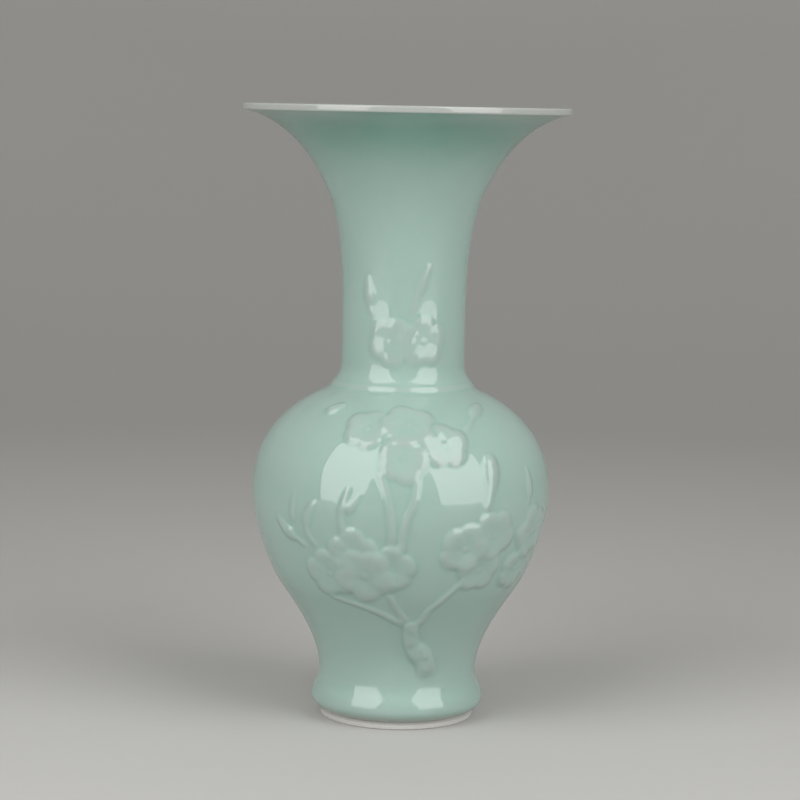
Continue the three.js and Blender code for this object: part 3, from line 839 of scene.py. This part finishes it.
# Materials
def add_node(tree, kind, inputs=None, **settings):
    """Adds a node with its settings; each input is given a value, or an output to link."""
    made = tree.nodes.new(kind)
    for name, value in settings.items():
        setattr(made, name, value)
    for socket, value in (inputs or {}).items():
        if isinstance(value, bpy.types.NodeSocket):
            tree.links.new(value, made.inputs[socket])
        else:
            made.inputs[socket].default_value = value
    return made


def noise(tree, place, size, detail):
    """Noise whose patches have a size in metres."""
    return add_node(tree, "ShaderNodeTexNoise", {
        "Vector": place, "Scale": 1 / size, "Detail": detail}).outputs["Fac"]


def computed(tree, operation, *values):
    """What an operation makes of some values or outputs."""
    return add_node(tree, "ShaderNodeMath", dict(enumerate(values)), operation=operation).outputs[0]


def remapped(tree, value, span, to):
    """An output carried over from one span of values to another."""
    return add_node(tree, "ShaderNodeMapRange", {
        "Value": value, "From Min": span[0], "From Max": span[1],
        "To Min": to[0], "To Max": to[1]}).outputs["Result"]


def shaded(tree, plain, shade):
    """A colour darkened by an output."""
    return add_node(tree, "ShaderNodeMix", {0: 1.0, "A": tuple(plain), "B": shade},
                    data_type="RGBA", blend_type="MULTIPLY").outputs["Result"]


def bumped(tree, height, distance):
    """The way that a surface with some fine height faces."""
    return add_node(tree, "ShaderNodeBump", {"Height": height, "Distance": distance}).outputs["Normal"]


def new_material(name):
    """A material, its empty node tree and, in that, the place on the object."""
    material = bpy.data.materials.new(name)
    material.use_nodes = True
    tree = material.node_tree
    tree.nodes.clear()
    return material, tree, add_node(tree, "ShaderNodeTexCoord").outputs["Object"]


# Celadon glaze: a slightly milky green glass fired over white porcelain. Where it has drained thin the clay
# greys it, where it lies deep it is green, and on an even wall it is between the two. Bubbles cloud it a
# little, and its skin is smooth, with a faint waviness that bends the edges of what it mirrors
CLOUD_SIZE = 28 * MM
CLOUD_DEPTH = 0.11 * MM
MOTTLE_SIZE = 1.6 * MM
MOTTLE_DEPTH = 0.02 * MM
WAVE_SIZE = 11 * MM
WAVE_HEIGHT = 0.03 * MM
GLAZE_IOR = 1.5
GLAZE_ROUGHNESS = (0.015, 0.03)
THINNEST_SHARE = 0.04
DEEPEST = 1.3 * MM
GLAZE_SCATTER = 0.5
GLAZE_SCATTER_RADIUS = (1.0, 1.3, 1.2)
GLAZE_SCATTER_SCALE = 1 * MM


def celadon_glaze(colours):
    found = bpy.data.materials.get("celadon_over_porcelain")
    if found:
        return found
    material, tree, place = new_material("celadon_over_porcelain")
    # The depth also carries the painted shade under the lip, which the ramp turns darker and greener
    depth = add_node(tree, "ShaderNodeAttribute", attribute_name="glaze_and_shade_depth").outputs["Fac"]
    cloud = noise(tree, place, CLOUD_SIZE, 2.0)
    mottle = noise(tree, place, MOTTLE_SIZE, 1.0)
    clouded = computed(tree, "MULTIPLY_ADD", cloud, 2 * CLOUD_DEPTH, depth)
    mottled = computed(tree, "MULTIPLY_ADD", mottle, 2 * MOTTLE_DEPTH, clouded)
    middle = CLOUD_DEPTH + MOTTLE_DEPTH
    share = remapped(tree, mottled, (middle, DEEPEST + middle), (0.0, 1.0))
    ramp = add_node(tree, "ShaderNodeValToRGB", {"Fac": share})
    stops = ramp.color_ramp.elements
    stops[0].position, stops[0].color = THINNEST_SHARE, colours.thin
    stops[1].position, stops[1].color = 1.0, colours.deep
    stops.new(GLAZE_DEPTH / DEEPEST).color = colours.plain
    sheen = remapped(tree, cloud, (0.0, 1.0), GLAZE_ROUGHNESS)
    wave = noise(tree, place, WAVE_SIZE, 1.0)
    shader = add_node(tree, "ShaderNodeBsdfPrincipled", {
        "Base Color": ramp.outputs["Color"], "Roughness": sheen,
        "Normal": bumped(tree, wave, WAVE_HEIGHT), "IOR": GLAZE_IOR, "Subsurface Weight": GLAZE_SCATTER,
        "Subsurface Radius": GLAZE_SCATTER_RADIUS, "Subsurface Scale": GLAZE_SCATTER_SCALE})
    add_node(tree, "ShaderNodeOutputMaterial", {"Surface": shader.outputs["BSDF"]})
    return material


# Biscuit porcelain: dense white clay fired without glaze and wiped smooth. It is matt and a little warm, with
# a fine mottled grain and the lines of the wheel, which the wave node counts at 20 radians to a unit
CLAY_GRAIN = 0.5 * MM
GRAIN_RANGE = (0.3, 0.7)
WHEEL_LINE = 0.9 * MM
WAVE_RADIANS = 20
CLAY_BUMP = 0.03 * MM
CLAY_ROUGHNESS = 0.72
CLAY_SHADE = 0.86


def bare_porcelain(colours):
    material, tree, place = new_material("biscuit_porcelain")
    grain = noise(tree, place, CLAY_GRAIN, 3.0)
    lines = add_node(tree, "ShaderNodeTexWave", {
        "Vector": place, "Scale": math.tau / (WAVE_RADIANS * WHEEL_LINE), "Distortion": 1.0},
        bands_direction="Z").outputs["Fac"]
    shade = remapped(tree, grain, GRAIN_RANGE, (CLAY_SHADE, 1.0))
    height = computed(tree, "ADD", grain, lines)
    shader = add_node(tree, "ShaderNodeBsdfPrincipled", {
        "Base Color": shaded(tree, colours.clay, shade), "Roughness": CLAY_ROUGHNESS,
        "Normal": bumped(tree, height, CLAY_BUMP)})
    add_node(tree, "ShaderNodeOutputMaterial", {"Surface": shader.outputs["BSDF"]})
    return material


# Backdrop paper: pale and matt, with a faint unevenness of tone. Where it is seen or mirrored it glows a
# little, more with height, which makes it as even as in the photograph. That glow casts no light on the vase
PAPER_PATCH = 14 * MM
PAPER_SHADE = 0.985
PAPER_ROUGHNESS = 0.9
PAPER_SPECULAR = 0.2
PAPER_LIFT = (0.06, 0.42)
LIFT_LEVELS = (0.0, 0.9)


def backdrop_paper(floor):
    material, tree, place = new_material("backdrop_paper")
    shade = remapped(tree, noise(tree, place, PAPER_PATCH, 4.0), (0.0, 1.0), (PAPER_SHADE, 1.0))
    shader = add_node(tree, "ShaderNodeBsdfPrincipled", {
        "Base Color": shaded(tree, floor, shade), "Roughness": PAPER_ROUGHNESS,
        "Specular IOR Level": PAPER_SPECULAR})
    rays = add_node(tree, "ShaderNodeLightPath").outputs
    shown = computed(tree, "MAXIMUM", rays["Is Camera Ray"], rays["Is Glossy Ray"])
    shown = computed(tree, "MAXIMUM", shown, rays["Is Transmission Ray"])
    level = add_node(tree, "ShaderNodeSeparateXYZ", {"Vector": place}).outputs["Z"]
    lift = computed(tree, "MULTIPLY", shown, remapped(tree, level, LIFT_LEVELS, PAPER_LIFT))
    glow = add_node(tree, "ShaderNodeEmission", {"Color": tuple(floor), "Strength": lift})
    both = add_node(tree, "ShaderNodeAddShader", {0: shader.outputs["BSDF"], 1: glow.outputs["Emission"]})
    add_node(tree, "ShaderNodeOutputMaterial", {"Surface": both.outputs["Shader"]})
    return material


# Operators
class VASE_OT_foot_ring(bpy.types.Operator):
    """Makes the bare ring of porcelain that the vase stands on"""

    bl_idname = "vase.foot_ring"
    bl_label = "Bare foot ring"

    def execute(self, context):
        sizes = context.scene.vase_sizes
        outer, inner = sizes.ring_radius, sizes.ring_radius - RING_WIDTH
        top, groove = BAND_LEVEL + RING_RISE, outer - GROOVE_DEPTH
        outline = [
            *arc((outer - RING_ROUND, RING_ROUND), RING_ROUND, -90, 0),
            (outer, BAND_LEVEL / 2), (outer, BAND_LEVEL - GROOVE_FOOT),
            (groove, BAND_LEVEL - GROOVE_FLOOR), (groove, top),
            (inner, top), (inner, BAND_LEVEL / 2),
            *arc((inner + RING_ROUND, RING_ROUND), RING_ROUND, 180, 270)]
        bm = turned(outline, [-1] * len(outline), 0, [(360, FOOT_COLUMNS)], closed=True)
        clay = bare_porcelain(context.scene.vase_glaze)
        placed(mesh_of(bm, "bare_foot_ring"), "bare_foot_ring", clay, [])
        return {"FINISHED"}


class VASE_OT_foot(bpy.types.Operator):
    """Makes the glazed foot, with the well inside it and the recess under it"""

    bl_idname = "vase.foot"
    bl_label = "Glazed foot"

    def execute(self, context):
        sizes = context.scene.vase_sizes
        skin = Skin(context.scene)
        low, waist = skin.marks["glaze_edge"], skin.marks["body"]
        well, floor = skin.marks["well"], skin.up[-1]
        outside, inside = rows(low, waist, FINE_ROW), rows(well, floor, PLAIN_ROW)
        ring = sizes.ring_radius - RING_WIDTH
        recess = ring - RECESS_FLARE
        underside = [
            (0, RECESS_LEVEL), (recess / 2, RECESS_LEVEL), (recess - RECESS_CHAMFER, RECESS_LEVEL),
            (recess, RECESS_LEVEL - RECESS_CHAMFER), (ring, BAND_LEVEL)]
        outline, ups = section_outline(skin, outside, inside)
        outline = np.concatenate([underside, outline])
        outline[-1, 0] = 0
        ups = np.concatenate([[-1] * len(underside), ups])
        bm = turned(outline, ups, 0, [(360, FOOT_COLUMNS)], closed=False)
        glazed_piece(bm, "glazed_foot", skin, None, [waist, well], ["foot", "waist_slip"])
        return {"FINISHED"}


class VASE_OT_body(bpy.types.Operator):
    """Makes the lower and the upper body, with branches, buds and blossom under their glaze"""

    bl_idname = "vase.body"
    bl_label = "Glazed body"

    def execute(self, context):
        skin = Skin(context.scene)
        marks = skin.marks
        relief = Relief(skin, context.scene.vase_relief, "body", marks["body"], marks["collar"])
        top = marks["collar"] - SEAM_BELOW_COLLAR
        inner_belly = skin.level_up(BELLY_LEVEL, marks["body_inside"], marks["well"])
        inner_top = skin.level_up(SHOULDER_LEVEL, marks["throat"], marks["body_inside"])
        arcs = column_arcs(BODY_SPAN, BODY_COLUMN)
        parts = [
            ("glazed_lower_body", marks["body"], marks["belly"], inner_belly, marks["well"],
             ["lower_body", "belly_slip", *relief_nodes("body", 0, BELLY_LEVEL)]),
            ("glazed_upper_body", marks["belly"], top, inner_top, inner_belly,
             ["upper_body", *relief_nodes("body", BELLY_LEVEL, SHOULDER_LEVEL)])]
        for name, low, high, inner_high, inner_low, nodes in parts:
            outline, ups = section_outline(
                skin, rows(low, high, FINE_ROW), rows(inner_high, inner_low, INSIDE_ROW))
            bm = turned(outline, ups, BODY_SPAN[0], arcs, closed=True)
            glazed_piece(bm, name, skin, relief, [low, high, inner_high, inner_low], nodes)
        return {"FINISHED"}


class VASE_OT_neck(bpy.types.Operator):
    """Makes the collar, the neck with its sprig, and the trumpet mouth"""

    bl_idname = "vase.neck"
    bl_label = "Glazed neck"

    def execute(self, context):
        skin = Skin(context.scene)
        marks = skin.marks
        relief = Relief(skin, context.scene.vase_relief, "neck", marks["neck"], marks["lip"])
        low = marks["collar"] - SEAM_BELOW_COLLAR
        sprig_top = marks["neck"] + NECK_SPRIG * (marks["lip"] - marks["neck"])
        outer = np.concatenate([
            rows(low, sprig_top, FINE_ROW)[:-1],
            rows(sprig_top, marks["lip"] - LIP_REACH, PLAIN_ROW)[:-1],
            rows(marks["lip"] - LIP_REACH, marks["mouth_inside"] + LIP_REACH, LIP_ROW)[:-1]])
        inner_low = skin.level_up(SHOULDER_LEVEL, marks["throat"], marks["body_inside"])
        inner = rows(marks["mouth_inside"] + LIP_REACH, inner_low, INSIDE_ROW / 2)
        outline, ups = section_outline(skin, outer, inner)
        bm = turned(outline, ups, NECK_SPAN[0], column_arcs(NECK_SPAN, NECK_COLUMN), closed=True)
        glazed_piece(bm, "glazed_neck", skin, relief, [low, inner_low],
                     ["trumpet_neck", "neck_slip", *relief_nodes("neck", 0, RIM_LEVEL)])
        return {"FINISHED"}


# Studio

# The floor curves up into a backdrop. The softboxes stand round the vase and above level by pairs of angles,
# and the back light, which the glaze doesn't mirror, lightens the edges of the shoulders and the lip
FLOOR_REACH = 1.1
COVE_RADIUS = 1.7
WALL_TOP = 2.6
FLOOR_COLUMNS = 96
SOFTBOX_SIZE = (0.88, 1.6)
SOFTBOX_DISTANCE = 1.25
SOFTBOX_PLACES = ((-44, 29), (47, 29))
LAMP_AIM = 0.13
BACK_PLACE = (0, 1.5, 1.25)
BACK_SIZE = (1.8, 1.1)
CEILING_PLACE = (0, 0, 1.9)
CEILING_SIZE = (1.6, 1.6)

# The photograph's camera: where it stands, how it is turned, and its lens on a full-frame sensor
CAMERA_PLACE = (0, -1.2309, 0.3006)
CAMERA_PITCH = 6.687
CAMERA_YAW = -0.05
CAMERA_ROLL = 1.12
CAMERA_LENS = 113.57
SENSOR_WIDTH = 36


def add_lamp(name, place, aim, size, power):
    """A soft area light that shines from its place at a point, unseen by the camera."""
    light = bpy.data.lights.new(name, "AREA")
    light.shape = "RECTANGLE"
    light.size, light.size_y = size
    light.energy = power
    lamp = in_scene(name, light)
    lamp.location = place
    lamp.rotation_euler = (Vector(aim) - Vector(place)).to_track_quat("-Z", "Y").to_euler()
    lamp.visible_camera = False
    return lamp


class VASE_OT_studio(bpy.types.Operator):
    """Makes the floor and its backdrop, two tall softboxes, soft lights above and behind, and the camera"""

    bl_idname = "vase.studio"
    bl_label = "Studio"

    def execute(self, context):
        stage = context.scene.vase_stage
        self.make_floor(stage)
        aim = Vector((0, 0, LAMP_AIM))
        for azimuth, elevation in SOFTBOX_PLACES:
            turn, rise = math.radians(azimuth), math.radians(elevation)
            place = SOFTBOX_DISTANCE * Vector((
                math.sin(turn) * math.cos(rise), -math.cos(turn) * math.cos(rise), math.sin(rise)))
            add_lamp("softbox", place + aim, aim, SOFTBOX_SIZE, stage.softbox_power)
        add_lamp("ceiling_light", CEILING_PLACE, (0, 0, 0), CEILING_SIZE, stage.ceiling_power)
        back = add_lamp("back_light", BACK_PLACE, aim, BACK_SIZE, stage.back_power)
        back.visible_glossy = False
        self.light_room(context.scene, stage)
        self.make_camera(context.scene)
        context.scene.view_settings.view_transform = "Standard"
        return {"FINISHED"}

    def make_floor(self, stage):
        cove = arc((FLOOR_REACH, COVE_RADIUS), COVE_RADIUS, -90, 0)
        outline = [(0, 0), (FLOOR_REACH / 4, 0), *cove, (FLOOR_REACH + COVE_RADIUS, WALL_TOP)]
        bm = turned(outline, [-1] * len(outline), 0, [(360, FLOOR_COLUMNS)], closed=False)
        bmesh.ops.reverse_faces(bm, faces=[f for f in bm.faces if f.normal.z < 0])
        floor = in_scene("floor", mesh_of(bm, "floor"))
        floor.data.materials.append(backdrop_paper(stage.floor))

    def light_room(self, scene, stage):
        world = bpy.data.worlds.new("studio_air")
        world.use_nodes = True
        world.node_tree.nodes.clear()
        air = add_node(world.node_tree, "ShaderNodeBackground", {
            "Color": (1.0, 1.0, 1.0, 1.0), "Strength": stage.fill})
        add_node(world.node_tree, "ShaderNodeOutputWorld", {"Surface": air.outputs["Background"]})
        scene.world = world

    def make_camera(self, scene):
        data = bpy.data.cameras.new("camera")
        data.lens, data.sensor_width = CAMERA_LENS, SENSOR_WIDTH
        camera = in_scene("camera", data)
        view = Matrix.Translation(CAMERA_PLACE)
        for angle, axis in ((-CAMERA_YAW, "Z"), (90 - CAMERA_PITCH, "X"), (CAMERA_ROLL, "Z")):
            view = view @ Matrix.Rotation(math.radians(angle), 4, axis)
        camera.matrix_world = view
        scene.camera = camera


# Panel and registration
class VASE_PT_panel(bpy.types.Panel):
    """Sizes, colours and steps of the vase"""

    bl_label = "Plum Blossom Vase"
    bl_idname = "VASE_PT_panel"
    bl_space_type = "VIEW_3D"
    bl_region_type = "UI"
    bl_category = "Vase"

    def draw(self, context):
        for group in (context.scene.vase_sizes, context.scene.vase_relief,
                      context.scene.vase_glaze, context.scene.vase_stage):
            box = self.layout.box()
            for name in group.__annotations__:
                box.prop(group, name)
        for operator in OPERATORS:
            self.layout.operator(operator.bl_idname)


OPERATORS = (VASE_OT_foot_ring, VASE_OT_foot, VASE_OT_body, VASE_OT_neck, VASE_OT_studio)
GROUPS = {
    "vase_sizes": VaseSizes, "vase_relief": VaseRelief, "vase_glaze": VaseGlaze, "vase_stage": VaseStage}


def register():
    for name, group in GROUPS.items():
        bpy.utils.register_class(group)
        setattr(bpy.types.Scene, name, PointerProperty(type=group))
    for operator in OPERATORS:
        bpy.utils.register_class(operator)
    bpy.utils.register_class(VASE_PT_panel)


def unregister():
    bpy.utils.unregister_class(VASE_PT_panel)
    for operator in reversed(OPERATORS):
        bpy.utils.unregister_class(operator)
    for name, group in reversed(GROUPS.items()):
        delattr(bpy.types.Scene, name)
        bpy.utils.unregister_class(group)


def main():
    register()
    bpy.ops.vase.foot_ring()
    bpy.ops.vase.foot()
    bpy.ops.vase.body()
    bpy.ops.vase.neck()
    bpy.ops.vase.studio()


if __name__ == "__main__":
    main()
